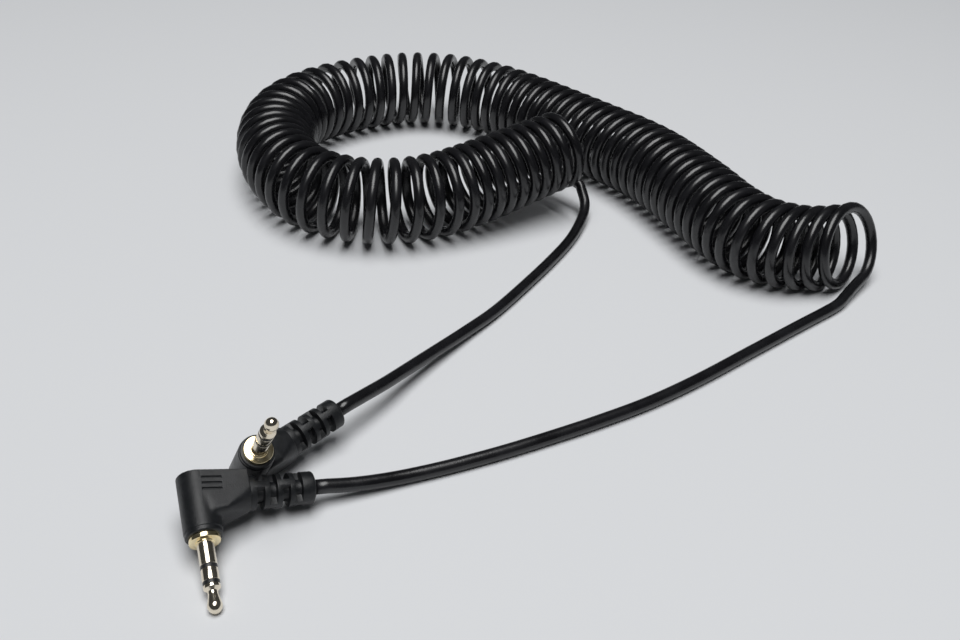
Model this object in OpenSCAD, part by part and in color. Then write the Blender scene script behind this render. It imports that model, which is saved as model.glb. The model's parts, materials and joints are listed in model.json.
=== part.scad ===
// Curly shutter release cord: two moulded right-angle 2.5 mm three-pole plugs,
// joined by one coiled cord. Each plug has its own frame: the elbow of its two
// axes is the origin, +X runs out along the cord, -Y out along the pin and +Z up
// through the grooved face. A distance along the pin is counted from the elbow.

/* [Pin] */
// Diameter of the three-pole pin
pin_d = 2.5; // [2.3:0.1:2.9]
// Length of the sleeve contact in front of the collar
sleeve_len = 3.7; // [3.2:0.1:4.5]
// Length of the ring contact
ring_len = 1.9; // [1.4:0.1:2.5]
// Length of each insulating band
band_len = 0.6; // [0.4:0.1:1]
// Depth of each insulating band below the pin's surface
band_recess = 0.02; // [0.01:0.01:0.04]
// Length of the tip contact
nose_len = 4.3; // [3.9:0.1:5]
// Diameter of the bulb at the end of the tip contact
nose_d = 2.2; // [2:0.05:2.3]
// Diameter of the neck that the jack's spring drops into
neck_d = 1.5; // [1.3:0.05:1.8]
// Length of the flange that starts the tip contact
nose_flange = 0.5; // [0.4:0.05:0.7]
// Diameter of the rod that carries the tip contact
rod_d = 0.8; // [0.7:0.05:0.9]
// Wall of each tube that sits round the rod
tube_wall = 0.2; // [0.16:0.01:0.21]
// Radial clearance between pieces that sit in each other
fit = 0.02; // [0.01:0.005:0.03]

/* [Collar] */
// Diameter of the gilt collar
collar_d = 4.65; // [4.2:0.05:5]
// Length of the collar in front of the barrel
collar_len = 0.8; // [0.6:0.1:1.2]
// Chamfer on the collar's rims
collar_chamfer = 0.12; // [0.05:0.01:0.2]
// Width of the step round the foot of the pin
foot_step = 0.2; // [0.1:0.05:0.4]
// Height of the step round the foot of the pin
foot_len = 0.25; // [0.1:0.05:0.5]
// Diameter of the shank that the moulding grips
shank_d = 3.4; // [3.2:0.1:3.8]
// Length of the shank inside the barrel
shank_len = 1.9; // [1.5:0.1:2.2]
// Depth of the groove round the shank
shank_groove = 0.25; // [0.1:0.05:0.3]

/* [Plug body] */
// Thickness of the body, which is the barrel's diameter too
body_t = 5.8; // [5.6:0.1:6.6]
// Distance from the elbow to the end of the barrel
barrel_len = 6.7; // [6.5:0.1:8]
// Distance from the elbow to the back of the body
body_back = 3.35; // [3:0.05:3.8]
// Slant of the back, which draws in towards the cord, in degrees
back_slant = 4.6; // [0:0.2:6]
// Distance from the elbow to the end of the arm
arm_len = 7.4; // [7:0.1:8.4]
// Distance from the cord's axis to the arm's front edge, at the barrel
arm_root = 4.05; // [3.8:0.05:4.3]
// Distance from the cord's axis to the arm's front edge, where the arm starts to round off
arm_front = 3.75; // [3.4:0.05:4]
// Distance from the elbow to the place where the arm starts to round off
arm_bend = 3.6; // [3.2:0.1:4.6]
// Radius of the arm's front edges
edge_r = 0.7; // [0.4:0.05:0.9]
// Length of the slightly thinner end of the barrel
lip_len = 0.8; // [0.6:0.1:1.6]
// Depth of the step to the barrel's end
lip_step = 0.1; // [0.05:0.05:0.2]
// Number of finger grooves on the upper face
groove_count = 3; // [2:1:4]
// Length of a finger groove
groove_len = 3; // [2:0.1:3.5]
// Width of a finger groove
groove_w = 0.35; // [0.2:0.05:0.5]
// Distance from groove to groove
groove_pitch = 0.98; // [0.8:0.01:1.2]
// Depth of a finger groove
groove_depth = 0.25; // [0.1:0.05:0.4]
// Distance from the back of the body to the first groove
groove_inset = 1.15; // [0.8:0.05:1.5]
// Distance from the pin's axis to the start of the grooves
groove_start = 0.5; // [0:0.1:1]

/* [Inner mould] */
// Thickness of the inner mould
mould_t = 3.6; // [3.2:0.1:3.8]
// Half width of the inner mould round the pin
mould_half = 1.8; // [1.7:0.05:1.9]
// Distance from the elbow to the end of the inner mould, along the cord
mould_len = 5.6; // [5:0.1:6.4]
// Length of each insulating tube behind the contact round it
cover_len = 0.8; // [0.6:0.1:0.9]
// Bare length of the ring's stem, for its wire
ring_bare = 1.4; // [1.2:0.1:1.5]
// Bare length of the tip's rod, for its wire
rod_bare = 1; // [0.9:0.1:1.1]

/* [Strain relief] */
// Length of the strain relief
relief_len = 10.3; // [9.8:0.1:12]
// Diameter of the strain relief at the plug
relief_d = 5.4; // [5:0.1:5.6]
// Diameter of the strain relief at the cord
relief_end_d = 5.15; // [4.6:0.05:5.3]
// Number of slots along the strain relief
slot_count = 4; // [2:1:4]
// Width of a slot along the cord
slot_w = 1.2; // [0.8:0.1:1.3]
// Width of the rib between two slots
rib_w = 0.8; // [0.7:0.1:1]
// Distance from the arm to the first slot
flare_len = 1; // [0.8:0.1:1.4]
// Thickness of the two webs that bridge a slot
slot_web = 1.05; // [0.8:0.05:1.4]
// Wall left round the cord at the bottom of a slot
slot_floor = 0.2; // [0.15:0.05:0.3]
// Radius of the end's rounded rim
rim_r = 0.4; // [0.2:0.05:0.6]

/* [Cord] */
// Diameter of the cord
cord_d = 2.4; // [2.2:0.1:2.5]
// Diameter of each insulated wire inside the cord
wire_d = 0.7; // [0.6:0.05:0.72]
// Diameter of a blob of solder
solder_d = 0.9; // [0.8:0.05:1]
// Number of whole curls
curls = 77; // [71:1:77]

/* [Hidden] */
$fn = 64;

// Distances along the pin, from the elbow
collar_back = barrel_len;
collar_face = collar_back + collar_len;
band_1 = collar_face + sleeve_len;
ring_start = band_1 + band_len;
band_2 = ring_start + ring_len;
nose_start = band_2 + band_len;
nose_end = nose_start + nose_len;
shank_back = barrel_len - shank_len;
ring_tube_back = shank_back - cover_len;
ring_back = ring_tube_back - ring_bare;
tip_tube_back = ring_back - cover_len;
rod_back = tip_tube_back - rod_bare;

// Radii of the pin's tubes, from the rod outwards
rod_r = rod_d / 2;
tip_tube_r = rod_r + tube_wall;
ring_stem_r = tip_tube_r + tube_wall;
ring_tube_r = ring_stem_r + tube_wall;
pin_r = pin_d / 2;
band_r = pin_r - band_recess;
shank_r = shank_d / 2;

// How far a wire's leg runs past its bend, in wire diameters
bend_lap = 0.3;

// The bulb of the tip contact is widest where its round end starts
bulb_len = 1.3;
neck_from = 0.45;
bulb_r = nose_d / 2;
bulb_at = nose_end - bulb_len;

// The body
half_t = body_t / 2;
arm_start = 0.4;
end_run = 0.3;
back_reach = body_back + half_t * tan(back_slant) + edge_r;
relief_end = arm_len + relief_len;
relief_bore = cord_d + 2 * fit;
slot_bottom = relief_bore / 2 + slot_floor;
back_wall = 1.7;
mould_back = body_back - back_wall;
shoulder_run = 0.8;
shoulder_drop = 0.5;
shoulder_y = arm_root - edge_r;

// Places of the three wires in the cord, across it: towards the back and up
TIP_LANE = [0.55, 0.3];
RING_LANE = [0, -0.62];
GROUND_LANE = [-0.55, 0.3];

// How the plugs lie: the elbow's place on the floor, the pin's heading away from -Y,
// the pin's rise above the floor and the roll round the pin
LAY_A = [-7.95, -3.7];
HEADING_A = 20.3;
RISE_A = -18.9;
ROLL_A = 10.8;
LAY_B = [-2.5, 6.55];
HEADING_B = 39.5;
RISE_B = 58.2;
ROLL_B = -9.3;
// The point of the layout that is the origin: the middle of the two plugs
MIDDLE = [-0.347, 0.405];

// The front corners of the arm, where its rounded edges have their centres
ARM_FRONT = [[half_t * 0.5, edge_r - arm_root], [arm_bend, edge_r - arm_front]];

// Plug A leans on the bulb of its pin, and plug B stands on the rim of its back
function up_way(rise, roll) = [-cos(rise) * sin(roll), -sin(rise), cos(rise) * cos(roll)];
function rim_drop(up) =
    half_t * norm([up.x - up.y * tan(back_slant), up.z]) - up.y * body_back;
height_a = norm([bulb_r * cos(RISE_A), bulb_len * sin(RISE_A)]) - bulb_at * sin(RISE_A);
height_b = rim_drop(up_way(RISE_B, ROLL_B));
PLUG_A = [[LAY_A.x, LAY_A.y, height_a], HEADING_A, RISE_A, ROLL_A];
PLUG_B = [[LAY_B.x, LAY_B.y, height_b], HEADING_B, RISE_B, ROLL_B];

// The coiled cord's axis, from plug B's side to plug A's. Each row has a point of the
// axis on the floor, the curl's height off the floor, its outer diameter, the pitch
// there, the direction that the curl faces and how far it leans back, in degrees.
COIL = [
    [51, 112.5, 6, 18.4, 3.2, 219, -10],
    [45, 108.7, 4.8, 18.8, 3.1, 218, -12],
    [36, 103, 2.7, 19.2, 3.1, 217, -10],
    [29, 98.6, 1.2, 19.4, 3.2, 216, -7],
    [22.5, 94.8, 0.3, 19.4, 3.8, 211, -2],
    [13.8, 91, 0, 19.4, 4.2, 196, 0],
    [3.5, 90.3, 0, 19.4, 4.2, 175, 0],
    [-7, 95, 0, 19.4, 4.3, 153, 0],
    [-15, 105.5, 0, 19.4, 4, 132, 0],
    [-19.2, 118, 0, 19.4, 4.1, 109, 0],
    [-19.6, 131, 0, 19.4, 4.5, 84, 0],
    [-15, 142, 0, 19.4, 4.7, 60, 0],
    [-6, 151, 0, 19.4, 4.4, 35, 0],
    [7, 158.5, 0, 19.4, 4.1, 14, 0],
    [18.5, 160, 0, 19.4, 4.4, -2, 0],
    [27.5, 157.8, 0, 19.4, 4.2, -13, 0],
    [36, 153, 0, 19.4, 4, -25, 0],
    [46, 144.5, 0, 19.4, 3.6, -40, 0],
    [61, 130, 0, 19.4, 3.5, -51, 0],
    [69, 122, 0, 19.4, 3.5, -56, 1],
    [75.5, 113, 0, 19.4, 3.4, -59, 2],
    [82.3, 99.5, 0, 19.4, 3.4, -60, 3],
    [87.5, 88.5, 0, 19.2, 3.45, -56, 4],
    [92.3, 82.6, 0, 19, 3.4, -50, 5],
    [97.5, 80.2, 0, 18.8, 3.4, -45, 7],
    [101.2, 79.6, 0, 18.8, 3.7, -43, 10],
    [105.6, 80, 0, 18.8, 3.9, -43, 13],
    [113.4, 81, 1.2, 18.8, 4.3, -44, 20]
];
CURL_RINGS = 8;
CURL_SIDES = 6;
AXIS_STEPS = 12;

// The straight ends of the cord, from each plug to the coil: places on the floor and
// the height of the cord's underside
TAIL_A = [
    [13.5, 5.6, 1.3], [17.5, 7.3, 0.7], [22.5, 9.6, 0.2], [29.5, 12.8, 0], [38, 17, 0],
    [46.5, 21.7, 0], [55.5, 27, 0], [65, 33.2, 0], [75, 41, 0], [86.5, 51, 0],
    [98, 61, 0], [107.6, 69.3, 0], [110.9, 73.2, 0.4]
];
TAIL_B = [
    [13.5, 24.9, 4.4], [16.7, 29.8, 3.6], [20.1, 35.8, 2.5], [24.5, 43, 1.5], [30, 51.5, 0.6],
    [35.8, 60.3, 0.1], [41.5, 70.3, 0], [47.5, 81.5, 0], [52.5, 92, 0.1], [55.6, 101, 0.8],
    [56.6, 106.5, 2.4]
];
TAIL_STEPS = 2;
TAIL_SIDES = 8;

// Directions of a plug's own axes in the layout
function pin_way(plug) =
    [sin(plug[1]) * cos(plug[2]), -cos(plug[1]) * cos(plug[2]), sin(plug[2])];
function level_way(plug) = [cos(plug[1]), sin(plug[1]), 0];
function cord_way(plug) =
    cos(plug[3]) * level_way(plug) + sin(plug[3]) * cross(level_way(plug), pin_way(plug));
function cord_exit(plug) = plug[0] + relief_end * cord_way(plug);

// A smooth curve through the points of a list, which may have any number of columns
function between(a, b, c, d, t) =
    ((2 * b) + (c - a) * t + (2 * a - 5 * b + 4 * c - d) * t * t + (3 * b - a - 3 * c + d) * t * t * t) / 2;
function curve(points, steps) = let (last = len(points) - 1) [
    for (i = [0 : last - 1])
        let (
            before = i > 0 ? points[i - 1] : 2 * points[0] - points[1],
            after = i < last - 1 ? points[i + 2] : 2 * points[last] - points[last - 1]
        )
        for (k = [0 : steps - 1]) between(before, points[i], points[i + 1], after, k / steps),
    points[last]
];
function unit(v) = v / norm(v);

// The coil: how many curls lie before each point of its axis
AXIS = curve(COIL, AXIS_STEPS);
function place_of(row) = [row[0], row[1], row[2]];
PARTS_OF_CURL = [
    for (i = [1 : len(AXIS) - 1])
        norm(place_of(AXIS[i]) - place_of(AXIS[i - 1])) * 2 / (AXIS[i][4] + AXIS[i - 1][4])
];
COUNTED = [
    for (i = 0, sum = 0; i < len(AXIS); sum = sum + (i < len(AXIS) - 1 ? PARTS_OF_CURL[i] : 0), i = i + 1)
        sum
];
CURL_SCALE = curls / COUNTED[len(COUNTED) - 1];
BY_CURL = [
    for (column = [0 : 6])
        [for (i = [0 : len(AXIS) - 1]) [COUNTED[i] * CURL_SCALE, AXIS[i][column]]]
];
function coil_row(count) = [for (column = BY_CURL) lookup(count, column)];
function outward(count) =
    let (row = coil_row(count), facing = row[5], lean = row[6], turn = 180 - 360 * count)
    cos(turn) * [-sin(lean) * cos(facing), -sin(lean) * sin(facing), cos(lean)]
    + sin(turn) * [sin(facing), -cos(facing), 0];
function curl_centre(count) =
    let (row = coil_row(count), radius = (row[3] - cord_d) / 2)
    [row[0], row[1], max(0, row[2]) + cord_d / 2 + radius * cos(row[6])];
function curl_point(count) =
    curl_centre(count) + (coil_row(count)[3] - cord_d) / 2 * outward(count);
RING_COUNT = CURL_RINGS * curls;
CURL_POINTS = [for (i = [0 : RING_COUNT]) curl_point(i / CURL_RINGS)];

// The cord enters and leaves the coil straight, for one diameter
coil_in = unit(CURL_POINTS[1] - CURL_POINTS[0]);
coil_out = unit(CURL_POINTS[RING_COUNT] - CURL_POINTS[RING_COUNT - 1]);
COIL_START = CURL_POINTS[0] - cord_d * coil_in;
COIL_END = CURL_POINTS[RING_COUNT] + cord_d * coil_out;

// The least gap between two strands of the coil, on its own points
least_gap = min([
    for (i = [0 : RING_COUNT - CURL_RINGS])
        for (j = [i + 5 : RING_COUNT]) norm(CURL_POINTS[i] - CURL_POINTS[j])
]) - cord_d;
echo(str("Least gap between curls: ", least_gap, " mm"));

// A tube through the centres, with its rings square to the ways and turned to the marks
module tube(centres, ways, marks, d, sides) {
    count = len(centres);
    points = [
        for (i = [0 : count - 1])
            let (across = unit(cross(ways[i], marks[i])), up = unit(cross(across, ways[i])))
            for (k = [0 : sides - 1])
                centres[i] + d / 2 * (cos(360 * k / sides) * up + sin(360 * k / sides) * across)
    ];
    near = [for (k = [1 : sides - 2]) [0, k, k + 1]];
    first = (count - 1) * sides;
    far = [for (k = [1 : sides - 2]) [first, first + k + 1, first + k]];
    walls = [
        for (i = [0 : count - 2])
            for (k = [0 : sides - 1])
                let (
                    a = i * sides + k,
                    b = i * sides + (k + 1) % sides,
                    c = b + sides,
                    e = a + sides
                )
                each [[a, c, b], [a, e, c]]
    ];
    polyhedron(points, concat(near, far, walls));
}

function ways_along(points) = let (last = len(points) - 1) [
    for (i = [0 : last]) unit(points[min(i + 1, last)] - points[max(i - 1, 0)])
];

// A straight end of the cord: out of its plug, along its points and into the coil
module cord_tail(plug, route, join, join_way) {
    start = cord_exit(plug);
    lift = [0, 0, cord_d / 2];
    free = curve(
        concat([start + cord_d * cord_way(plug) - lift], route, [join - cord_d * join_way - lift]),
        TAIL_STEPS
    );
    centres = concat([start], [for (point = free) lift + [point.x, point.y, max(0, point.z)]], [join]);
    inner = ways_along(centres);
    last = len(centres) - 1;
    ways = [for (i = [0 : last]) i < 2 ? cord_way(plug) : i > last - 2 ? join_way : inner[i]];
    color("#161719") translate(-[MIDDLE.x, MIDDLE.y, 0])
        tube(centres, ways, [for (i = [0 : last]) [0, 0, 1]], cord_d, TAIL_SIDES);
}

module curly_cord() {
    centres = concat([COIL_START], CURL_POINTS, [COIL_END]);
    inner = ways_along(CURL_POINTS);
    ways = concat([coil_in], [coil_in], [for (i = [1 : RING_COUNT - 1]) inner[i]], [coil_out], [coil_out]);
    marks = concat(
        [outward(0)],
        [for (i = [0 : RING_COUNT]) outward(i / CURL_RINGS)],
        [outward(curls)]
    );
    color("#161719") translate(-[MIDDLE.x, MIDDLE.y, 0])
        tube(centres, ways, marks, cord_d, CURL_SIDES);
}

// Frames
module at_plug(plug)
    translate(plug[0] - [MIDDLE.x, MIDDLE.y, 0])
        rotate([0, 0, plug[1]])
            rotate([-plug[2], 0, 0])
                rotate([0, plug[3], 0])
                    children();
module along_pin() rotate([90, 0, 0]) children();
module along_cord() rotate([0, 90, 0]) children();

module ring_tube(from, to, inner_r, outer_r)
    rotate_extrude() translate([inner_r, from]) square([outer_r - inner_r, to - from]);

// The pin, from the inside out
module tip_contact() color("#d8cdb4") along_pin() rotate_extrude() polygon(concat(
    [
        [0, rod_back], [rod_r, rod_back], [rod_r, nose_start], [pin_r, nose_start],
        [pin_r, nose_start + nose_flange], [neck_d / 2, nose_start + nose_flange + neck_from],
        [neck_d / 2, nose_start + nose_flange + 2 * neck_from]
    ],
    [for (a = [0 : 10 : 80]) [bulb_r * cos(a), bulb_at + bulb_len * sin(a)]],
    [[0, nose_end]]
));

module tip_insulator() color("#1b1b1d") along_pin() {
    difference() {
        union() {
            cylinder(h = nose_start, r = tip_tube_r);
            translate([0, 0, band_2]) cylinder(h = band_len, r = band_r);
        }
        translate([0, 0, -1]) cylinder(h = nose_end, r = rod_r + fit);
        translate([0, 0, -1]) cylinder(h = 1 + tip_tube_back, r = pin_r);
    }
}

module ring_contact() color("#d8cdb4") along_pin() {
    ring_tube(ring_back, ring_start + ring_len / 2, tip_tube_r + fit, ring_stem_r);
    ring_tube(ring_start, band_2, tip_tube_r + fit, pin_r);
}

module ring_insulator() color("#1b1b1d") along_pin() {
    ring_tube(ring_tube_back, ring_start, ring_stem_r + fit, ring_tube_r);
    ring_tube(band_1, ring_start, ring_stem_r + fit, band_r);
}

module shank(grow)
    rotate_extrude() polygon([
        [0, shank_back], [shank_r + grow, shank_back], [shank_r + grow, shank_back + shank_len * 0.3],
        [shank_r - shank_groove + grow, shank_back + shank_len * 0.3],
        [shank_r - shank_groove + grow, shank_back + shank_len * 0.6],
        [shank_r + grow, shank_back + shank_len * 0.6], [shank_r + grow, collar_back], [0, collar_back]
    ]);

module sleeve_contact() color("#d9b25c") along_pin() {
    difference() {
        union() {
            shank(0);
            rotate_extrude() polygon([
                [0, collar_back], [collar_d / 2 - collar_chamfer, collar_back],
                [collar_d / 2, collar_back + collar_chamfer], [collar_d / 2, collar_face - collar_chamfer],
                [collar_d / 2 - collar_chamfer, collar_face], [pin_r + foot_step, collar_face],
                [pin_r + foot_step, collar_face + foot_len], [pin_r, collar_face + foot_len],
                [pin_r, band_1], [0, band_1]
            ]);
        }
        translate([0, 0, shank_back - 1]) cylinder(h = band_1, r = ring_tube_r + fit);
    }
}

// A wire through its points: each leg runs a little past its bends
module wire_run(points, d) {
    last = len(points) - 2;
    for (i = [0 : last]) {
        leg = points[i + 1] - points[i];
        before = i > 0 ? bend_lap * d : 0;
        after = i < last ? bend_lap * d : 0;
        translate(points[i])
            rotate([0, acos(leg.z / norm(leg)), atan2(leg.y, leg.x)])
                translate([0, 0, -before]) cylinder(h = norm(leg) + before + after, d = d, $fn = 32);
    }
}

// The points of each wire, from the end of the strain relief to its solder joint
function lane_points(lane) = [[relief_end, lane.x, lane.y], [mould_len, lane.x, lane.y]];
tip_joint = [rod_r + wire_d * 0.4, -(rod_back + rod_bare / 2), 0];
ring_joint = [ring_stem_r * 0.8 + wire_d * 0.45, -(ring_back + ring_bare * 0.4), -0.5];
ground_joint = [mould_half - solder_d / 2 - 2 * fit, -shank_back, 0.5];
TIP_RUN = concat(lane_points(TIP_LANE), [tip_joint]);
RING_RUN = concat(lane_points(RING_LANE), [ring_joint]);
GROUND_RUN = concat(
    lane_points(GROUND_LANE),
    [[ground_joint.x, shoulder_drop - shoulder_y, ground_joint.z], ground_joint]
);

// What the wires are soldered to, grown by the clearance
module stack(grow) along_pin() {
    translate([0, 0, rod_back]) cylinder(h = nose_start - rod_back, r = rod_r + grow);
    translate([0, 0, tip_tube_back - grow]) cylinder(h = nose_start - tip_tube_back, r = tip_tube_r + grow);
    translate([0, 0, ring_back - grow]) cylinder(h = ring_start - ring_back, r = ring_stem_r + grow);
    translate([0, 0, ring_tube_back - grow]) cylinder(h = ring_start - ring_tube_back, r = ring_tube_r + grow);
    shank(grow);
}

module soldered_wire(run, tint) color(tint) difference() {
    union() {
        wire_run(run, wire_d);
        translate(run[len(run) - 1]) sphere(d = solder_d, $fn = 32);
    }
    stack(fit);
}

module mould_blank(grow)
    translate([0, 0, -mould_t / 2 - grow])
        linear_extrude(mould_t + 2 * grow)
            polygon([
                [-mould_half - grow, mould_back + grow], [mould_len + grow, mould_back + grow],
                [mould_len + grow, -mould_half - grow], [mould_half + shoulder_run + grow, -shoulder_y - grow],
                [mould_half + grow, -shoulder_y - shoulder_drop - grow], [mould_half + grow, -shank_back],
                [-mould_half - grow, -shank_back]
            ]);

module inner_mould() color("#2a2b2e") difference() {
    mould_blank(0);
    stack(fit);
    for (run = [TIP_RUN, RING_RUN, GROUND_RUN]) {
        wire_run(run, wire_d + 2 * fit);
        translate(run[len(run) - 1]) sphere(d = solder_d + 2 * fit, $fn = 32);
    }
}

// The arm: a block with a flat top, round front edges and a round end at the strain relief
module arm_block()
    hull() {
        for (corner = ARM_FRONT)
            for (side = [-1, 1])
                translate([corner.x, corner.y, side * (half_t - edge_r)]) sphere(edge_r, $fn = 32);
        for (x = [arm_start, arm_len - end_run])
            translate([x, 0, -half_t]) cube([end_run, back_reach, 2 * half_t]);
        translate([arm_len - end_run, 0, 0]) along_cord() cylinder(h = end_run, r = half_t, $fn = 64);
    }

module barrel() along_pin() rotate_extrude() polygon([
    [0, -back_reach], [half_t, -back_reach], [half_t, barrel_len - lip_len],
    [half_t - lip_step, barrel_len - lip_len], [half_t - lip_step, barrel_len - lip_step],
    [half_t - 2 * lip_step, barrel_len], [0, barrel_len]
]);

// The plane of the slanting back: the children's +Y points out of it
module at_back() translate([0, body_back, 0]) rotate([0, 0, -back_slant]) children();

module plug_body() color("#1d1e20") difference() {
    union() {
        arm_block();
        barrel();
    }
    at_back() translate([-4 * half_t, 0, -2 * half_t]) cube([8 * half_t, 4 * half_t, 4 * half_t]);
    mould_blank(fit);
    along_pin() shank(fit);
    translate([mould_len - 1, 0, 0]) along_cord() cylinder(h = arm_len, d = relief_bore);
    for (i = [0 : groove_count - 1])
        at_back()
            translate([groove_start, -groove_inset - groove_w - i * groove_pitch, half_t - groove_depth])
                cube([groove_len, groove_w, half_t]);
}

// What one slot takes away: all round the cord's wall, but for the two webs
module slot() difference() {
    along_cord() cylinder(h = slot_w, r = relief_d);
    translate([-slot_w, 0, 0]) along_cord() cylinder(h = 3 * slot_w, r = slot_bottom);
    translate([-slot_w, -slot_web / 2, -2 * relief_d]) cube([3 * slot_w, slot_web, 4 * relief_d]);
}

module strain_relief() color("#1d1e20") difference() {
    translate([arm_len, 0, 0]) along_cord() rotate_extrude() polygon(concat(
        [[0, 0], [relief_d / 2, 0]],
        [
            for (a = [0 : 15 : 90])
                [relief_end_d / 2 - rim_r + rim_r * cos(a), relief_len - rim_r + rim_r * sin(a)]
        ],
        [[0, relief_len]]
    ));
    translate([arm_len - 1, 0, 0]) along_cord() cylinder(h = relief_len + 2, d = relief_bore);
    for (i = [0 : slot_count - 1])
        translate([arm_len + flare_len + i * (slot_w + rib_w), 0, 0]) rotate([i % 2 * 90, 0, 0]) slot();
}

module cord_end() color("#161719") difference() {
    translate([mould_len + fit, 0, 0]) along_cord() cylinder(h = relief_end - mould_len - fit, d = cord_d);
    for (lane = [TIP_LANE, RING_LANE, GROUND_LANE])
        translate([mould_len - 1, lane.x, lane.y])
            along_cord() cylinder(h = relief_end, d = wire_d + 2 * fit, $fn = 32);
}

// Plug A
at_plug(PLUG_A) tip_contact();  // tip_contact_a
at_plug(PLUG_A) tip_insulator();  // tip_insulator_a
at_plug(PLUG_A) ring_contact();  // ring_contact_a
at_plug(PLUG_A) ring_insulator();  // ring_insulator_a
at_plug(PLUG_A) sleeve_contact();  // sleeve_contact_a
at_plug(PLUG_A) inner_mould();  // inner_mould_a
at_plug(PLUG_A) plug_body();  // plug_body_a
at_plug(PLUG_A) strain_relief();  // strain_relief_a
at_plug(PLUG_A) soldered_wire(TIP_RUN, "#b03030");  // tip_wire_a
at_plug(PLUG_A) soldered_wire(RING_RUN, "#e0e0dc");  // ring_wire_a
at_plug(PLUG_A) soldered_wire(GROUND_RUN, "#b87333");  // ground_wire_a
at_plug(PLUG_A) cord_end();  // cord_end_a

// Plug B
at_plug(PLUG_B) tip_contact();  // tip_contact_b
at_plug(PLUG_B) tip_insulator();  // tip_insulator_b
at_plug(PLUG_B) ring_contact();  // ring_contact_b
at_plug(PLUG_B) ring_insulator();  // ring_insulator_b
at_plug(PLUG_B) sleeve_contact();  // sleeve_contact_b
at_plug(PLUG_B) inner_mould();  // inner_mould_b
at_plug(PLUG_B) plug_body();  // plug_body_b
at_plug(PLUG_B) strain_relief();  // strain_relief_b
at_plug(PLUG_B) soldered_wire(TIP_RUN, "#b03030");  // tip_wire_b
at_plug(PLUG_B) soldered_wire(RING_RUN, "#e0e0dc");  // ring_wire_b
at_plug(PLUG_B) soldered_wire(GROUND_RUN, "#b87333");  // ground_wire_b
at_plug(PLUG_B) cord_end();  // cord_end_b

// The cord between them
cord_tail(PLUG_A, TAIL_A, COIL_END, -coil_out);  // cord_tail_a
curly_cord();
cord_tail(PLUG_B, TAIL_B, COIL_START, coil_in);  // cord_tail_b
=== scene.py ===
"""A curly shutter release cord with two right-angle pin plugs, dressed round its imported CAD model.

Sizes are millimetres until a mesh is made. The row frame is the CAD's: +X to the viewer's right,
+Y away from the viewer, +Z up, with the cable lying on the floor at z = 0.
"""
import json
import math

import bmesh
import bpy
import numpy as np
from mathutils import Matrix, Vector


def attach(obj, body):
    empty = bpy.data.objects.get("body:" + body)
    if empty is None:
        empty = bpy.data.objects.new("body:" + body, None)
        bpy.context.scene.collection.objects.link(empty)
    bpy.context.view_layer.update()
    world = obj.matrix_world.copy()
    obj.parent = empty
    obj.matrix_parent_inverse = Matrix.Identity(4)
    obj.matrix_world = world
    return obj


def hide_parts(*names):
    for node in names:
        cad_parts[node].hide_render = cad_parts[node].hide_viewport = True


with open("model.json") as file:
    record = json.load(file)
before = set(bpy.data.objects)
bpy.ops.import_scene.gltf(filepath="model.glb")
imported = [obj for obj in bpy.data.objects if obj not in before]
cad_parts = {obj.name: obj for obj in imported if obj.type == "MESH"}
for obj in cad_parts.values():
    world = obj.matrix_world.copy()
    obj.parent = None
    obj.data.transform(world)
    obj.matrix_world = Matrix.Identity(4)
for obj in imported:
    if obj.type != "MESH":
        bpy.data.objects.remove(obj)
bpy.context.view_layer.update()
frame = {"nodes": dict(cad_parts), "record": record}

MM = 0.001
# Where the row frame's origin, the middle of the plugs, lies in the layout of the cord and camera
MIDDLE = np.array([-0.347, 0.405, 0.0])

# The camera: where it stands in the layout, how many degrees it looks down and rolls, its lens
# in millimetres, and its nearest and furthest distance in metres
CAMERA_AT = np.array([33.0, -119.4, 118.1])
CAMERA_DOWN = 33.5
CAMERA_ROLL = 3.0
LENS_MM = 39.375
SENSOR_MM = 36.0
CAMERA_NEAR = 0.01
CAMERA_FAR = 10

# The stage: the floor, the dim world and the one lamp over it, in metres and watts
FLOOR_HALF = 4.0
FLOOR_COLOUR = (0.72, 0.733, 0.752, 1)
WORLD_COLOUR = (0.93, 0.96, 1.0, 1)
WORLD_STRENGTH = 0.05
LAMP_AT = (0.03, -0.10, 1.0)
LAMP_AIM = (0.03, 0.06, 0)
LAMP_SIZE = (0.7, 1.1)
LAMP_WATTS = 10.8

# Sizes of the pin and the collar, as in the CAD
PIN_R = 1.25
BAND_R = 1.23
SLEEVE_LEN = 3.7
BAND_LEN = 0.6
RING_LEN = 1.9
NOSE_LEN = 4.3
NOSE_FLANGE = 0.5
NECK_AT = 0.95
NECK_LEN = 0.45
NECK_R = 0.75
BULB_LEN = 1.3
BULB_R = 1.1
COLLAR_BACK = 6.7
COLLAR_LEN = 0.8
COLLAR_R = 2.325
FOOT_R = 1.45
FOOT_LEN = 0.25
# The collar starts a little narrower inside the barrel, and is at its full width just outside
HIDDEN_LEN = 0.3
HIDDEN_IN = 0.1
COLLAR_OUT = 0.02
# Radii of the rounded edges and bends of the pin and the collar
BAND_EDGE = 0.02
FOOT_CORNER = 0.03
PIN_EDGE = 0.05
RIM_EDGE = 0.08
COLLAR_EDGE = 0.12
NECK_BEND = 0.15
CONE_BEND = 0.3
# Where the paler plating starts in front of the foot, and the ring of points on the sleeve's flat
# end, the step round the bulb in degrees and the points along the cone, which keep the shading even
PLATING_GAP = 0.02
FLAT_R = 0.9
BULB_STEP = 7.5
CONE_POINTS = (0.25, 0.6, 0.93)

# Sizes of the moulded body, as in the CAD
BODY_HALF = 2.9
BODY_BACK = 3.35
BACK_SLANT = 4.6
ARM_START = 0.4
ARM_LEN = 7.4
ARM_ROOT = 4.05
ARM_FRONT = 3.75
ARM_BEND = 3.6
EDGE_R = 0.7
END_RUN = 0.3
LIP_LEN = 0.8
LIP_STEP = 0.1
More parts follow.
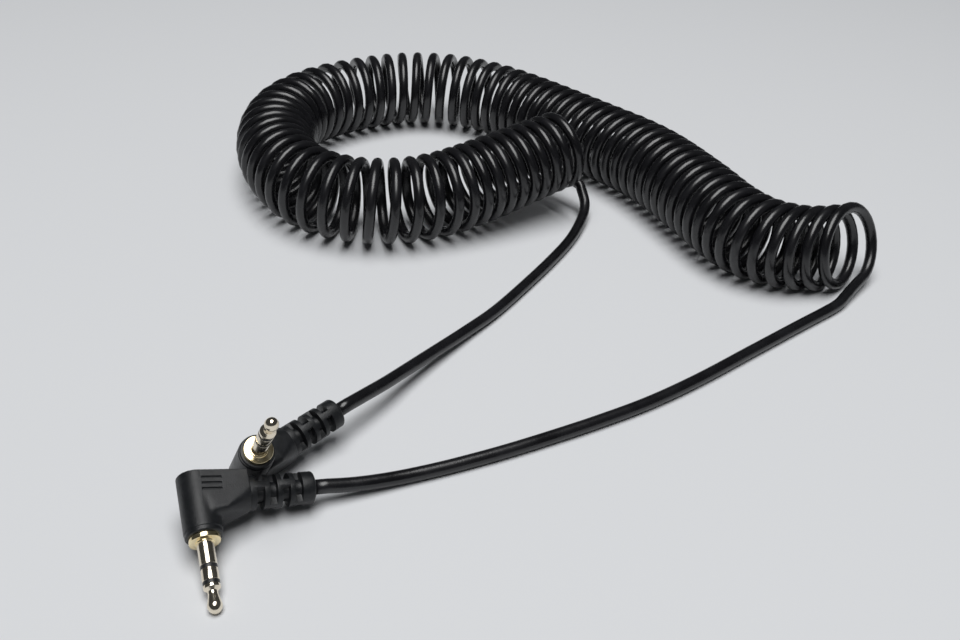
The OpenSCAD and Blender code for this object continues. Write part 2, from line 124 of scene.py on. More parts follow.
# Radii of the barrel's lip: its outer edge, its inner corner and its rim
LIP_EDGE = 0.06
LIP_CORNER = 0.04
LIP_RIM = 0.25
GROOVES = 3
GROOVE_START = 0.5
GROOVE_LEN = 3.0
GROOVE_W = 0.35
GROOVE_PITCH = 0.98
GROOVE_INSET = 1.15
GROOVE_DEPTH = 0.25
# How wide a groove's slanting wall is, how much it widens the groove, and how far below the
# upper face the points are pressed in
GROOVE_WALL = 0.13
GROOVE_FLARE = 0.02
GROOVE_REACH = 0.35
# Where the arm's foot is blended into the barrel, seen from above, how far and how often, and
# over what width the blend fades out, sideways and down
BLEND_LINE = np.array([(0.4, 1.0), (1.6, -4.1), (3.0, -4.3)])
BLEND_REACH = 1.3
BLEND_PASSES = 110
BLEND_FADE = 0.8
BLEND_BELOW = 1
# The grown skin's voxels, and how much and how often it is softened
SKIN_VOXEL = 0.065
SKIN_SOFTNESS = 0.5
SKIN_PASSES = 7
# Sides of the arm's round end, and steps from pole to pole of a ball
ARM_SIDES = 96
BALL_STEPS = 12

# Sizes of the strain relief, as in the CAD
RELIEF_LEN = 10.3
RELIEF_R = 2.7
RELIEF_END_R = 2.575
RELIEF_BORE_R = 1.22
CORE_R = 1.42
SLOTS = 4
SLOT_WEB = 1.05
SLOT_W = 1.2
RIB_W = 0.8
FLARE_LEN = 1.0
RELIEF_END = ARM_LEN + RELIEF_LEN
# Radii of its rounded edges: at the arm, at the cord, round the bore and along the slots
ROOT_EDGE = 0.08
END_EDGE = 0.45
BORE_EDGE = 0.12
SLOT_EDGE = 0.1
# How wide the slots' cutters and their webs are, and how far the core runs past a slot
CUT_SPAN = 12
WEB_SPAN = 14
CORE_PAST = 0.5

# Distances along the pin, from the elbow
COLLAR_FACE = COLLAR_BACK + COLLAR_LEN
BAND_1 = COLLAR_FACE + SLEEVE_LEN
RING_START = BAND_1 + BAND_LEN
BAND_2 = RING_START + RING_LEN
NOSE_START = BAND_2 + BAND_LEN
NOSE_END = NOSE_START + NOSE_LEN
# The middle of the pin's straight part, where the record has its mount
PIN_MOUNT_AT = (COLLAR_FACE + FOOT_LEN + NOSE_START + NOSE_FLANGE) / 2

CORD_R = 1.2
CORD_SIDES = 20
# The cord runs straight this far from each plug and from each end of the coil
STRAIGHT_LEN = 2 * CORD_R

# The coil's axis: place on the floor, the curl's height, outer diameter, pitch, facing and lean.
# The pitches only say how the curls share the axis: CURLS is how many there are.
COIL = [
    (51, 112.5, 6, 18.4, 3.2, 219, -10),
    (45, 108.7, 4.8, 18.8, 3.1, 218, -12),
    (36, 103, 2.7, 19.2, 3.1, 217, -10),
    (29, 98.6, 1.2, 19.4, 3.2, 216, -7),
    (22.5, 94.8, 0.3, 19.4, 3.8, 211, -2),
    (13.8, 91, 0, 19.4, 4.2, 196, 0),
    (3.5, 90.3, 0, 19.4, 4.2, 175, 0),
    (-7, 95, 0, 19.4, 4.3, 153, 0),
    (-15, 105.5, 0, 19.4, 4, 132, 0),
    (-19.2, 118, 0, 19.4, 4.1, 109, 0),
    (-19.6, 131, 0, 19.4, 4.5, 84, 0),
    (-15, 142, 0, 19.4, 4.7, 60, 0),
    (-6, 151, 0, 19.4, 4.4, 35, 0),
    (7, 158.5, 0, 19.4, 4.1, 14, 0),
    (18.5, 160, 0, 19.4, 4.4, -2, 0),
    (27.5, 157.8, 0, 19.4, 4.2, -13, 0),
    (36, 153, 0, 19.4, 4, -25, 0),
    (46, 144.5, 0, 19.4, 3.6, -40, 0),
    (61, 130, 0, 19.4, 3.5, -51, 0),
    (69, 122, 0, 19.4, 3.5, -56, 1),
    (75.5, 113, 0, 19.4, 3.4, -59, 2),
    (82.3, 99.5, 0, 19.4, 3.4, -60, 3),
    (87.5, 88.5, 0, 19.2, 3.45, -56, 4),
    (92.3, 82.6, 0, 19, 3.4, -50, 5),
    (97.5, 80.2, 0, 18.8, 3.4, -45, 7),
    (101.2, 79.6, 0, 18.8, 3.7, -43, 10),
    (105.6, 80, 0, 18.8, 3.9, -43, 13),
    (113.4, 81, 1.2, 18.8, 4.3, -44, 20),
]
PITCH_COLUMN = 4
CURLS = 77
CURL_RINGS = 28
AXIS_STEPS = 12

# The straight ends of the cord: places on the floor and the height of the cord's underside
TAIL_A = [
    (13.5, 5.6, 1.3), (17.5, 7.3, 0.7), (22.5, 9.6, 0.2), (29.5, 12.8, 0), (38, 17, 0),
    (46.5, 21.7, 0), (55.5, 27, 0), (65, 33.2, 0), (75, 41, 0), (86.5, 51, 0),
    (98, 61, 0), (107.6, 69.3, 0), (110.9, 73.2, 0.4),
]
TAIL_B = [
    (13.5, 24.9, 4.4), (16.7, 29.8, 3.6), (20.1, 35.8, 2.5), (24.5, 43, 1.5), (30, 51.5, 0.6),
    (35.8, 60.3, 0.1), (41.5, 70.3, 0), (47.5, 81.5, 0), (52.5, 92, 0.1), (55.6, 101, 0.8),
    (56.6, 106.5, 2.4),
]
TAIL_STEPS = 12

# How near two points are before they are one, how near the axis a point is on it, and how near
# to straight a corner isn't rounded
WELD = 1e-7
ON_AXIS = 1e-6
NEARLY_STRAIGHT = 0.02
# An edge sharper than this many degrees stays sharp
SHARP_ANGLE = 40
# Most of a noise texture's values lie between these two
NOISE_LOW = 0.3
NOISE_HIGH = 0.7


# --- Placing ---------------------------------------------------------------------------------


def make_camera():
    """The camera at the photograph's angle, in the row frame."""
    down, roll = math.radians(CAMERA_DOWN), math.radians(CAMERA_ROLL)
    level = Vector((1, 0, 0))
    up = Vector((0, math.sin(down), math.cos(down)))
    forward = Vector((0, math.cos(down), -math.sin(down)))
    right = math.cos(roll) * level + math.sin(roll) * up
    top = -math.sin(roll) * level + math.cos(roll) * up
    data = bpy.data.cameras.new("camera")
    data.lens, data.sensor_width = LENS_MM, SENSOR_MM
    data.clip_start, data.clip_end = CAMERA_NEAR, CAMERA_FAR
    camera = bpy.data.objects.new("camera", data)
    bpy.context.scene.collection.objects.link(camera)
    turn = Matrix((right, top, -forward)).transposed().to_4x4()
    camera.matrix_world = Matrix.Translation(Vector((CAMERA_AT - MIDDLE) * MM)) @ turn
    bpy.context.scene.camera = camera


MOUNTS = {mount["name"]: mount for mount in frame["record"]["mounts"]}


def plug_matrix(end):
    """The plug's own frame: +X along the cord, -Y along the pin, +Z up through the grooves."""
    pin, face = MOUNTS["pin_" + end], MOUNTS["collar_face_" + end]
    out = Vector(pin["axis"]).normalized()
    elbow = Vector(pin["pos_m"]) - out * PIN_MOUNT_AT * MM
    up = Vector(face["pos_m"]) - elbow
    up = (up - out * up.dot(out)).normalized()
    cord = (-out).cross(up)
    matrix = Matrix((cord, -out, up)).transposed().to_4x4()
    matrix.translation = elbow
    return matrix


PLUGS = {end: plug_matrix(end) for end in "ab"}


# --- Curves ----------------------------------------------------------------------------------


def curve_through(points, steps):
    """A Catmull-Rom curve through the points, which may have any number of columns."""
    p = np.array(points, float)
    p = np.vstack([2 * p[0] - p[1], p, 2 * p[-1] - p[-2]])
    out = []
    for a, b, c, d in zip(p[:-3], p[1:-2], p[2:-1], p[3:]):
        for t in np.arange(steps) / steps:
            square, cube = 2 * a - 5 * b + 4 * c - d, 3 * b - a - 3 * c + d
            out.append((2 * b + (c - a) * t + square * t**2 + cube * t**3) / 2)
    return np.array(out + [p[-2]])


def unit(v):
    """The vector, or each row of vectors, at length 1."""
    return v / np.linalg.norm(v, axis=-1, keepdims=True)


def coil_line():
    """The centres of the coil's rings, in the layout."""
    axis = curve_through(COIL, AXIS_STEPS)
    steps = np.linalg.norm(np.diff(axis[:, :3], axis=0), axis=1)
    pitch = axis[:, PITCH_COLUMN]
    count = np.r_[0, np.cumsum(steps * 2 / (pitch[1:] + pitch[:-1]))]
    count *= CURLS / count[-1]
    at = np.arange(CURLS * CURL_RINGS + 1) / CURL_RINGS
    x, y, lift, outer, _, facing, lean = (np.interp(at, count, axis[:, k]) for k in range(7))
    facing, lean = np.radians(facing), np.radians(lean)
    radius = outer / 2 - CORD_R
    turn = math.pi - 2 * math.pi * at
    side = np.stack([np.sin(facing), -np.cos(facing), 0 * facing], 1)
    up = np.stack([-np.sin(lean) * np.cos(facing), -np.sin(lean) * np.sin(facing), np.cos(lean)], 1)
    outward = np.cos(turn)[:, None] * up + np.sin(turn)[:, None] * side
    centre = np.stack([x, y, np.maximum(lift, 0) + CORD_R + radius * np.cos(lean)], 1)
    return centre + radius[:, None] * outward


def tail_line(end, route, join, join_way):
    """The centres of a straight end of the cord, from its plug to the coil."""
    plug = PLUGS[end]
    way = np.array(plug.col[0].xyz)
    start = np.array(plug @ Vector((RELIEF_END * MM, 0, 0))) / MM + MIDDLE
    lift = np.array([0, 0, CORD_R])
    first, last = start + STRAIGHT_LEN * way, join - STRAIGHT_LEN * join_way
    free = curve_through([first - lift, *route, last - lift], TAIL_STEPS)
    free[:, 2] = np.maximum(free[:, 2], 0)
    return np.vstack([start, free + lift, join])


def whole_cord():
    """The cord's centres from plug a to plug b, in the row frame in millimetres."""
    coil = coil_line()
    way_in, way_out = unit(coil[1] - coil[0]), unit(coil[-1] - coil[-2])
    coil = np.vstack([coil[0] - STRAIGHT_LEN * way_in, coil, coil[-1] + STRAIGHT_LEN * way_out])
    tail_b = tail_line("b", TAIL_B, coil[0], way_in)
    tail_a = tail_line("a", TAIL_A, coil[-1], -way_out)
    return np.vstack([tail_a, coil[::-1][1:], tail_b[::-1][1:]]) - MIDDLE


# --- Meshes ----------------------------------------------------------------------------------


def mesh_object(name, vertices, faces, smooth_angle=None):
    """A mesh from points in metres, smooth but for edges sharper than the angle."""
    mesh = bpy.data.meshes.new(name)
    mesh.from_pydata([tuple(v) for v in vertices], [], faces)
    mesh.validate()
    return mesh_piece(name, mesh, smooth_angle)


def mesh_piece(name, mesh, smooth_angle=None):
    """An object in the scene with the mesh, smooth but for edges sharper than the angle."""
    mesh.shade_smooth()
    if smooth_angle is not None:
        mesh.set_sharp_from_angle(angle=math.radians(smooth_angle))
    piece = bpy.data.objects.new(name, mesh)
    bpy.context.scene.collection.objects.link(piece)
    return piece


def tube(name, line, radius, sides):
    """A closed tube round the line, without twist."""
    ways = unit(np.gradient(line, axis=0))
    normal = unit(np.cross(ways[0], [0, 0, 1.0]))
    angles = np.arange(sides)[:, None] * 2 * math.pi / sides
    rows = []
    for centre, way in zip(line, ways):
        normal = unit(normal - way * normal.dot(way))
        other = np.cross(way, normal)
        rows.append(centre + radius * (np.cos(angles) * normal + np.sin(angles) * other))
    last = (len(line) - 1) * sides
    faces = []
    for row in range(0, last, sides):
        for k in range(sides):
            after = (k + 1) % sides
            faces.append((row + k, row + after, row + sides + after, row + sides + k))
    faces += [tuple(range(sides))[::-1], tuple(last + k for k in range(sides))]
    return mesh_object(name, np.vstack(rows) * MM, faces)


def filleted(corners, pieces=4):
    """A polyline with its corners rounded. Each corner is (x, y) or (x, y, radius)."""
    points = []
    for i, corner in enumerate(corners):
        here = np.array(corner[:2], float)
        if len(corner) < 3 or i in (0, len(corners) - 1):
            points.append(here)
            continue
        before = np.array(corners[i - 1][:2], float)
        after = np.array(corners[i + 1][:2], float)
        a, b = unit(before - here), unit(after - here)
        half = math.acos(max(-1, min(1, a.dot(b)))) / 2
        if half > math.pi / 2 - NEARLY_STRAIGHT:
            points.append(here)
            continue
        reach = corner[2] / math.tan(half)
        middle = here + unit(a + b) * corner[2] / math.sin(half)
        start, end = here + a * reach - middle, here + b * reach - middle
        sweep = math.pi - 2 * half
        turn = 1 if start[0] * end[1] - start[1] * end[0] > 0 else -1
        for k in range(pieces + 1):
            angle = turn * sweep * k / pieces
            points.append(
                middle
                + np.array([
                    start[0] * math.cos(angle) - start[1] * math.sin(angle),
                    start[0] * math.sin(angle) + start[1] * math.cos(angle),
                ])
            )
    return np.array(points)


def turned(name, profile, plug, axis="pin", sides=96):
    """A turned piece: the profile's points are (distance along the axis, radius)."""
    vertices, faces, rows = [], [], []
    for along, radius in profile:
        if radius < ON_AXIS:
            rows.append([len(vertices)])
            vertices.append((along, 0.0, 0.0))
            continue
        rows.append(list(range(len(vertices), len(vertices) + sides)))
        for k in range(sides):
            angle = 2 * math.pi * k / sides
            vertices.append((along, radius * math.cos(angle), radius * math.sin(angle)))
    for low, high in zip(rows, rows[1:]):
        for k in range(sides):
            j = (k + 1) % sides
            ring = [low[k % len(low)], low[j % len(low)], high[j % len(high)], high[k % len(high)]]
            ring = list(dict.fromkeys(ring))
            if len(ring) > 2:
                faces.append(tuple(ring))
    points = np.array(vertices)
    if axis == "pin":
        points = np.stack([points[:, 1], -points[:, 0], points[:, 2]], 1)
    piece = mesh_object(name, points * MM, faces, SHARP_ANGLE)
    tidy(piece)
    piece.matrix_world = plug
    return piece


def tidy(piece):
    """Merges doubled points and turns the faces outwards."""
    bm = bmesh.new()
    bm.from_mesh(piece.data)
    bmesh.ops.remove_doubles(bm, verts=bm.verts, dist=WELD)
    bmesh.ops.recalc_face_normals(bm, faces=bm.faces)
    bm.to_mesh(piece.data)
    bm.free()


def in_millimetres(piece):
    """The scratch piece, with its mesh scaled from metres back to millimetres."""
    piece.data.transform(Matrix.Scale(1 / MM, 4))
    return piece


def with_modifiers(piece):
    """The piece's mesh with its modifiers applied."""
    graph = bpy.context.evaluated_depsgraph_get()
    mesh = bpy.data.meshes.new_from_object(piece.evaluated_get(graph))
    mesh.name = piece.name
    return mesh


# --- The plug --------------------------------------------------------------------------------


def ball_points(centre, radius):
    """Points all over a ball."""
    points = []
    for i in range(BALL_STEPS + 1):
        polar = math.pi * i / BALL_STEPS
        for k in range(2 * BALL_STEPS if 0 < i < BALL_STEPS else 1):
            turn = math.pi * k / BALL_STEPS
            points.append((
                centre[0] + radius * math.sin(polar) * math.cos(turn),
                centre[1] + radius * math.sin(polar) * math.sin(turn),
                centre[2] + radius * math.cos(polar),
            ))
    return points


def arm_solid(back_reach):
    """The arm: a block with a flat top, round front edges and a round end at the strain relief."""
    points = []
    for x, y in ((BODY_HALF / 2, EDGE_R - ARM_ROOT), (ARM_BEND, EDGE_R - ARM_FRONT)):
        for side in (-1, 1):
            points += ball_points((x, y, side * (BODY_HALF - EDGE_R)), EDGE_R)
    for x in (ARM_START, ARM_LEN):
        points += [(x, y, z) for y in (0, back_reach) for z in (-BODY_HALF, BODY_HALF)]
    around = np.arange(ARM_SIDES) * 2 * math.pi / ARM_SIDES
    for x in (ARM_LEN - END_RUN, ARM_LEN):
        points += [(x, BODY_HALF * math.cos(a), BODY_HALF * math.sin(a)) for a in around]
    bm = bmesh.new()
    for point in points:
        bm.verts.new(point)
    hull = bmesh.ops.convex_hull(bm, input=bm.verts)
    inside = hull["geom_interior"] + hull["geom_unused"]
    loose = {v for v in inside if isinstance(v, bmesh.types.BMVert)}
    bmesh.ops.delete(bm, geom=list(loose), context="VERTS")
    return bm


def cut_back(bm):
    """Cuts the solid off flat along the slanting back."""
    slant = math.radians(BACK_SLANT)
    whole = list(bm.verts) + list(bm.edges) + list(bm.faces)
    bmesh.ops.bisect_plane(
        bm, geom=whole, plane_co=(0, BODY_BACK, 0), plane_no=(math.sin(slant), math.cos(slant), 0),
        clear_outer=True,
    )
    bmesh.ops.holes_fill(bm, edges=[edge for edge in bm.edges if edge.is_boundary])
    bmesh.ops.recalc_face_normals(bm, faces=bm.faces)


def blended(mesh, points):
    """Softens the line where the arm grows out of the barrel, above and down its front."""
    weight = np.zeros(len(points))
    for start, end in zip(BLEND_LINE[:-1], BLEND_LINE[1:]):
        way = end - start
        share = np.clip((points[:, :2] - start) @ way / way.dot(way), 0, 1)
        away = np.linalg.norm(points[:, :2] - start - share[:, None] * way, axis=1)
        weight = np.maximum(weight, np.clip((BLEND_REACH - away) / BLEND_FADE, 0, 1))
    weight *= np.clip(points[:, 2] + BLEND_BELOW, 0, 1)
    edges = np.zeros(len(mesh.edges) * 2, np.int32)
    mesh.edges.foreach_get("vertices", edges)
    edges = edges.reshape(-1, 2)
    edges = edges[weight[edges].max(axis=1) > 0]
    ends = np.concatenate([edges[:, 0], edges[:, 1]])
    others = np.concatenate([edges[:, 1], edges[:, 0]])
    degree = np.maximum(np.bincount(ends, minlength=len(points)), 1)
    points = points.astype(float)
    for _ in range(BLEND_PASSES):
        total = np.stack([np.bincount(ends, points[others, k], len(points)) for k in range(3)], 1)
        points += weight[:, None] / 2 * (total / degree[:, None] - points)
    return points


def grooved(points):
    """Presses the finger grooves into the points of the upper face."""
    slant = math.radians(BACK_SLANT)
    deep = (BODY_BACK - points[:, 1]) * math.cos(slant) - points[:, 0] * math.sin(slant)
    along = points[:, 0] * math.cos(slant) - (points[:, 1] - BODY_BACK) * math.sin(slant)
    inside = GROOVE_LEN / 2 - np.abs(along - GROOVE_START - GROOVE_LEN / 2)
    run = np.clip(inside / GROOVE_WALL, 0, 1)
    top = points[:, 2] > BODY_HALF - GROOVE_REACH
    for k in range(GROOVES):
        middle = GROOVE_INSET + GROOVE_W / 2 + k * GROOVE_PITCH
        across = GROOVE_W / 2 + GROOVE_FLARE - np.abs(deep - middle)
        press = np.minimum(np.clip(across / GROOVE_WALL, 0, 1), run)
        points[:, 2] -= GROOVE_DEPTH * press * press * (3 - 2 * press) * top
    return points


def barrel_piece(back_reach):
    """The barrel round the pin, with its slightly thinner lip."""
    lip, lip_r = COLLAR_BACK - LIP_LEN, BODY_HALF - LIP_STEP
    profile = filleted([
        (-back_reach, 0), (-back_reach, BODY_HALF), (lip, BODY_HALF, LIP_EDGE),
        (lip, lip_r, LIP_CORNER), (COLLAR_BACK, lip_r, LIP_RIM), (COLLAR_BACK, 0),
    ], 10)
    return in_millimetres(turned("body_barrel", profile, Matrix.Identity(4)))


def body_solid():
    """Arm and barrel, overlapping, each cut off along the slanting back."""
    back_reach = BODY_BACK + BODY_HALF * math.tan(math.radians(BACK_SLANT)) + EDGE_R
    barrel = barrel_piece(back_reach)
    both = bpy.data.meshes.new("body_solid")
    bm = arm_solid(back_reach)
    cut_back(bm)
    bm.to_mesh(both)
    bm.free()
    bm = bmesh.new()
    bm.from_mesh(barrel.data)
    cut_back(bm)
    bm.from_mesh(both)
    bm.to_mesh(both)
    bm.free()
    bpy.data.objects.remove(barrel)
    solid = bpy.data.objects.new("body_solid", both)
    bpy.context.scene.collection.objects.link(solid)
    return solid


def body_mesh():
    """The moulded body: arm and barrel grown into one skin, with the finger grooves pressed in."""
    solid = body_solid()
    remesh = solid.modifiers.new("skin", "REMESH")
    remesh.mode, remesh.voxel_size, remesh.adaptivity = "VOXEL", SKIN_VOXEL, 0
    smooth = solid.modifiers.new("soften", "SMOOTH")
    smooth.factor, smooth.iterations = SKIN_SOFTNESS, SKIN_PASSES
    mesh = with_modifiers(solid)
    bpy.data.objects.remove(solid)
    points = np.zeros(len(mesh.vertices) * 3, np.float32)
    mesh.vertices.foreach_get("co", points)
    points = grooved(blended(mesh, points.reshape(-1, 3)))
    mesh.vertices.foreach_set("co", (points * MM).ravel())
    mesh.update()
    return mesh


def box_piece(name, size, x):
    """A box round the cord's axis, in millimetres."""
    bm = bmesh.new()
    bmesh.ops.create_cube(bm, size=1)
    bmesh.ops.scale(bm, vec=size, verts=bm.verts)
    bmesh.ops.translate(bm, vec=(x, 0, 0), verts=bm.verts)
    mesh = bpy.data.meshes.new(name)
    bm.to_mesh(mesh)
    bm.free()
    piece = bpy.data.objects.new(name, mesh)
    bpy.context.scene.collection.objects.link(piece)
    return piece


def take_away(piece, other):
    """Cuts the other piece out of the piece."""
    cut = piece.modifiers.new("cut", "BOOLEAN")
    cut.operation, cut.object, cut.solver = "DIFFERENCE", other, "EXACT"
    piece.data = with_modifiers(piece)
    piece.modifiers.clear()


def slot_cutter(k):
    """What slot k takes away: a slice, but for the core and two webs that turn slot by slot."""
    start = FLARE_LEN + k * (SLOT_W + RIB_W)
    cutter = box_piece("slot", (SLOT_W, CUT_SPAN, CUT_SPAN), start + SLOT_W / 2)
    web_size = (2 * SLOT_W, WEB_SPAN, SLOT_WEB) if k % 2 else (2 * SLOT_W, SLOT_WEB, WEB_SPAN)
    web = box_piece("web", web_size, start + SLOT_W / 2)
    low, high = start - CORE_PAST, start + SLOT_W + CORE_PAST
    profile = [(low, 0), (low, CORE_R), (high, CORE_R), (high, 0)]
    core = in_millimetres(turned("core", profile, Matrix.Identity(4), axis="cord", sides=48))
    for kept in (core, web):
        take_away(cutter, kept)
        bpy.data.objects.remove(kept)
    return cutter


def relief_mesh():
    """The strain relief: a tapered sleeve with slots cut through beside its core."""
    profile = filleted([
        (0, RELIEF_BORE_R), (0, RELIEF_R, ROOT_EDGE), (RELIEF_LEN, RELIEF_END_R, END_EDGE),
        (RELIEF_LEN, RELIEF_BORE_R, BORE_EDGE), (0, RELIEF_BORE_R),
    ], 5)
    sleeve = in_millimetres(
        turned("relief_sleeve", profile, Matrix.Identity(4), axis="cord", sides=72)
    )
    for k in range(SLOTS):
        cutter = slot_cutter(k)
        take_away(sleeve, cutter)
        bpy.data.objects.remove(cutter)
    bevel = sleeve.modifiers.new("edges", "BEVEL")
    bevel.width, bevel.segments, bevel.use_clamp_overlap = SLOT_EDGE, 3, True
    bevel.limit_method, bevel.angle_limit = "ANGLE", math.radians(SHARP_ANGLE)
    mesh = with_modifiers(sleeve)
    bpy.data.objects.remove(sleeve)
    mesh.transform(Matrix.Translation((ARM_LEN, 0, 0)))
    mesh.transform(Matrix.Scale(MM, 4))
    return mesh


def dress(piece, material, slot, *nodes):
    """Gives a piece its material and the CAD nodes it stands for, which it hides; the slot is not
    used.
    """
    piece.data.materials.clear()
    piece.data.materials.append(material)
    if nodes:
        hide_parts(*nodes)
    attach(piece, "root")
    return piece


def make_moulding(end, body, relief, looks):
    """The moulded body and the strain relief of one plug."""
    shell = mesh_piece("moulded_body_" + end, body.copy())
    shell.matrix_world = PLUGS[end]
    dress(shell, looks["overmould"], "overmould", "plug_body_" + end)
    sleeve = mesh_piece("slotted_relief_" + end, relief.copy(), SHARP_ANGLE)
    sleeve.matrix_world = PLUGS[end]
    dress(sleeve, looks["overmould"], "overmould", "strain_relief_" + end)


def make_sleeve(end, looks):
    """The gilt collar and, in a paler plating, the pin's sleeve in front of it."""
    hidden, foot = COLLAR_BACK - HIDDEN_LEN, COLLAR_FACE + FOOT_LEN
    profile = filleted([
        (hidden, 0), (hidden, COLLAR_R - HIDDEN_IN), (COLLAR_BACK + COLLAR_OUT, COLLAR_R, PIN_EDGE),
        (COLLAR_FACE, COLLAR_R, COLLAR_EDGE), (COLLAR_FACE, FOOT_R, PIN_EDGE),
        (foot, FOOT_R, RIM_EDGE), (foot, PIN_R, FOOT_CORNER), (BAND_1, PIN_R, PIN_EDGE),
        (BAND_1, FLAT_R), (BAND_1, 0),
    ])
    sleeve = turned("gilt_sleeve_" + end, profile, PLUGS[end])
    dress(sleeve, looks["gilt"], "gilt_sleeve", "sleeve_contact_" + end)
    sleeve.data.materials.append(looks["contact"])
    for face in sleeve.data.polygons:
        face.material_index = int(-face.center.y > (foot + PLATING_GAP) * MM)


def ring_piece(name, end, start, length, radius, edge):
    """A plain ring of the pin."""
    profile = filleted([
        (start, 0), (start, radius, edge), (start + length, radius, edge), (start + length, 0),
    ])
    return turned(name + end, profile, PLUGS[end])


def make_rings(end, looks):
    """The two black bands of the pin and the ring contact between them."""
    rear = ring_piece("rear_band_", end, BAND_1, BAND_LEN, BAND_R, BAND_EDGE)
    dress(rear, looks["insulator"], "pin_insulator", "ring_insulator_" + end)
    front = ring_piece("front_band_", end, BAND_2, BAND_LEN, BAND_R, BAND_EDGE)
    dress(front, looks["insulator"], "pin_insulator", "tip_insulator_" + end)
    ring = ring_piece("ring_band_", end, RING_START, RING_LEN, PIN_R, PIN_EDGE)
    dress(ring, looks["contact"], "pin_contact", "ring_contact_" + end)


def make_tip(end, looks):
    """The tip contact: flange, neck, cone and bulb."""
    neck, flange = NOSE_START + NECK_AT, NOSE_START + NOSE_FLANGE
    cone_start = np.array([neck + NECK_LEN, NECK_R])
    cone_end = np.array([NOSE_END - BULB_LEN, BULB_R])
    cone = [cone_start + (cone_end - cone_start) * share for share in CONE_POINTS]
    around = np.radians(np.arange(BULB_STEP, 91, BULB_STEP))
    bulb = [(NOSE_END - BULB_LEN * (1 - math.sin(a)), BULB_R * math.cos(a)) for a in around]
    shank = filleted([
        (NOSE_START, 0), (NOSE_START, PIN_R, PIN_EDGE), (flange, PIN_R, RIM_EDGE),
        (neck, NECK_R, NECK_BEND), (*cone_start, CONE_BEND), *cone, cone_end,
    ])
    tip = turned("pin_tip_" + end, np.vstack([shank, bulb]), PLUGS[end])
    dress(tip, looks["contact"], "pin_contact", "tip_contact_" + end)


def make_plug(end, body, relief, looks):
    """All the pieces of one plug that replace CAD nodes."""
    make_moulding(end, body, relief, looks)
    make_sleeve(end, looks)
    make_rings(end, looks)
    make_tip(end, looks)


# --- Materials -------------------------------------------------------------------------------


class Look:
    """A small helper that builds one node material."""

    def __init__(self, name):
        self.material = bpy.data.materials.new(name)
        self.material.use_nodes = True
        self.nodes = self.material.node_tree.nodes
        self.links = self.material.node_tree.links
        self.shader = self.nodes["Principled BSDF"]

    def set(self, **values):
        """Sets the shader's own values; an underscore in a name stands for a space."""
        for key, value in values.items():
            self.shader.inputs[key.replace("_", " ")].default_value = value
        return self

    def node(self, kind, **values):
        """A new node with these values on its inputs; an underscore stands for a space."""
        made = self.nodes.new(kind)
        for key, value in values.items():
            made.inputs[key.replace("_", " ")].default_value = value
        return made

    def noise(self, scale, detail=3.0, rough=0.5, stretch=None):
        """Noise over the object's own coordinates; scale is per metre."""
        source = self.node("ShaderNodeTexCoord").outputs["Object"]
        if stretch:
            mapping = self.node("ShaderNodeMapping", Scale=stretch)
            self.links.new(source, mapping.inputs["Vector"])
            source = mapping.outputs["Vector"]
        made = self.node("ShaderNodeTexNoise", Scale=scale, Detail=detail, Roughness=rough)
        self.links.new(source, made.inputs["Vector"])
        return made.outputs["Fac"]

    def colour(self, source, dark, light, light_at=NOISE_HIGH):
        """The base colour: dark where the noise is low, light where it is high."""
        made = self.node("ShaderNodeValToRGB")
        low, high = made.color_ramp.elements
        low.position, low.color = NOISE_LOW, (*dark, 1)
        high.position, high.color = light_at, (*light, 1)
        self.links.new(source, made.inputs["Fac"])
        self.links.new(made.outputs["Color"], self.shader.inputs["Base Color"])

    def roughness(self, source, low, high):
        """The roughness: low where the noise is low, high where it is high."""
        made = self.node(
            "ShaderNodeMapRange", From_Min=NOISE_LOW, From_Max=NOISE_HIGH, To_Min=low, To_Max=high
        )
        self.links.new(source, made.inputs["Value"])
        self.links.new(made.outputs["Result"], self.shader.inputs["Roughness"])

    def bump(self, *layers):
        """Bump layers, each (height, distance in metres, strength), one on the other."""
        normal = None
        for height, distance, strength in layers:
            made = self.node("ShaderNodeBump", Strength=strength, Distance=distance)
            self.links.new(height, made.inputs["Height"])
            if normal is not None:
                self.links.new(normal, made.inputs["Normal"])
            normal = made.outputs["Normal"]
        self.links.new(normal, self.shader.inputs["Normal"])


def jacket_look():
    """Glossy black PVC with a faint unevenness all over."""
    look = Look("cord_jacket").set(IOR=1.5, Specular_IOR_Level=0.62)
    wide, fine = look.noise(220, 3), look.noise(2600, 2)
    look.colour(wide, (0.005, 0.005, 0.006), (0.009, 0.009, 0.011), light_at=0.75)
    look.roughness(wide, 0.20, 0.32)
    look.bump((wide, 0.0003, 0.12), (fine, 0.00004, 0.25))
    return look.material


def overmould_look():
    """Satin black PVC with the fine grain of a spark-eroded mould and shinier spots."""
    look = Look("overmould").set(IOR=1.5, Specular_IOR_Level=0.4)
    grain, soft, wide = look.noise(5200, 3, 0.6), look.noise(1600, 3), look.noise(300, 3)
    look.colour(soft, (0.006, 0.007, 0.008), (0.013, 0.014, 0.016))
    look.roughness(wide, 0.34, 0.48)
    look.bump((grain, 0.00005, 0.7), (soft, 0.00005, 0.3))
    return look.material


def metal_look(name, light, dark, rough):
    """Polished plated metal with turning marks round the pin's axis and faint wear."""
    look = Look(name).set(Metallic=1.0)
    rings = look.noise(900, 4, 0.7, stretch=(0.05, 14, 0.05))
    wear = look.noise(900, 4)
    look.colour(wear, dark, light, light_at=0.65)
    look.roughness(wear, rough, rough + 0.09)
    look.bump((rings, 0.00001, 0.35))
    return look.material


def plain_look(name, dark, light, rough, scale, metallic=0.0):
    """A moulded or drawn piece with a little mottling."""
    look = Look(name).set(Metallic=metallic)
    mottle, fine = look.noise(scale, 3), look.noise(scale * 5, 2)
    look.colour(mottle, dark, light)
    look.roughness(mottle, rough, rough + 0.15)
    look.bump((fine, 0.00003, 0.3))
    return look.material


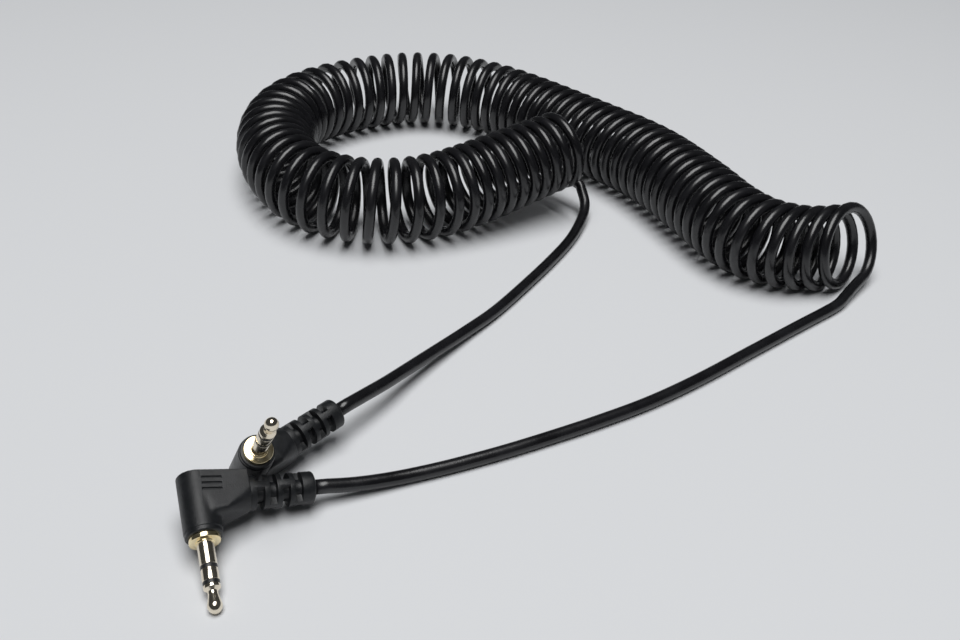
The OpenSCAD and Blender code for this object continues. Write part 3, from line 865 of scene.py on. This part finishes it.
def make_looks():
    """The materials by name."""
    return {
        "jacket": jacket_look(),
        "overmould": overmould_look(),
        "gilt": metal_look("gilt", (0.97, 0.85, 0.57), (0.92, 0.75, 0.43), 0.11),
        "contact": metal_look("contact", (0.88, 0.80, 0.66), (0.78, 0.70, 0.56), 0.10),
        "insulator": plain_look(
            "pin_insulator", (0.010, 0.010, 0.011), (0.022, 0.022, 0.024), 0.35, 1500
        ),
        "mould": plain_look("inner_mould", (0.12, 0.12, 0.13), (0.20, 0.20, 0.21), 0.5, 900),
        "red": plain_look("red_wire", (0.42, 0.03, 0.03), (0.60, 0.06, 0.05), 0.35, 1200),
        "white": plain_look("white_wire", (0.70, 0.70, 0.67), (0.84, 0.84, 0.82), 0.35, 1200),
        "copper": plain_look(
            "copper_wire", (0.55, 0.27, 0.13), (0.78, 0.45, 0.26), 0.25, 2400, metallic=1.0
        ),
    }


def dress_inner_nodes(looks):
    """Materials for the CAD nodes that stay as they are, inside the plugs."""
    for end in "ab":
        for node, look in (
            ("inner_mould_", "mould"), ("tip_wire_", "red"), ("ring_wire_", "white"),
            ("ground_wire_", "copper"), ("cord_end_", "jacket"),
        ):
            mesh = frame["nodes"][node + end].data
            mesh.materials.clear()
            mesh.materials.append(looks[look])


# --- The stage -------------------------------------------------------------------------------


def make_floor():
    """A plain pale floor."""
    half = FLOOR_HALF
    corners = [(-half, -half, 0), (half, -half, 0), (half, half, 0), (-half, half, 0)]
    floor = mesh_object("floor", corners, [(0, 1, 2, 3)])
    look = Look("floor").set(Roughness=0.8, Base_Color=FLOOR_COLOUR, Specular_IOR_Level=0.2)
    floor.data.materials.append(look.material)


def make_light():
    """A dim world, and one wide soft lamp that looks down from above the plugs."""
    world = bpy.data.worlds.new("world")
    bpy.context.scene.world = world
    world.use_nodes = True
    background = world.node_tree.nodes["Background"]
    background.inputs["Color"].default_value = WORLD_COLOUR
    background.inputs["Strength"].default_value = WORLD_STRENGTH
    data = bpy.data.lights.new("softbox", "AREA")
    data.shape, data.energy = "ELLIPSE", LAMP_WATTS
    data.size, data.size_y = LAMP_SIZE
    lamp = bpy.data.objects.new("softbox", data)
    bpy.context.scene.collection.objects.link(lamp)
    lamp.location = LAMP_AT
    lamp.rotation_mode = "QUATERNION"
    lamp.rotation_quaternion = (Vector(LAMP_AIM) - Vector(LAMP_AT)).to_track_quat("-Z", "Y")


# --- Making it -------------------------------------------------------------------------------

bpy.context.scene.view_settings.view_transform = "Standard"
make_camera()
LINE = whole_cord()
looks = make_looks()
cord = tube("curly_cord_whole", LINE, CORD_R, CORD_SIDES)
dress(cord, looks["jacket"], "cord_jacket", "cord_tail_a", "curly_cord", "cord_tail_b")
body, relief = body_mesh(), relief_mesh()
for end in "ab":
    make_plug(end, body, relief, looks)
dress_inner_nodes(looks)
make_floor()
make_light()
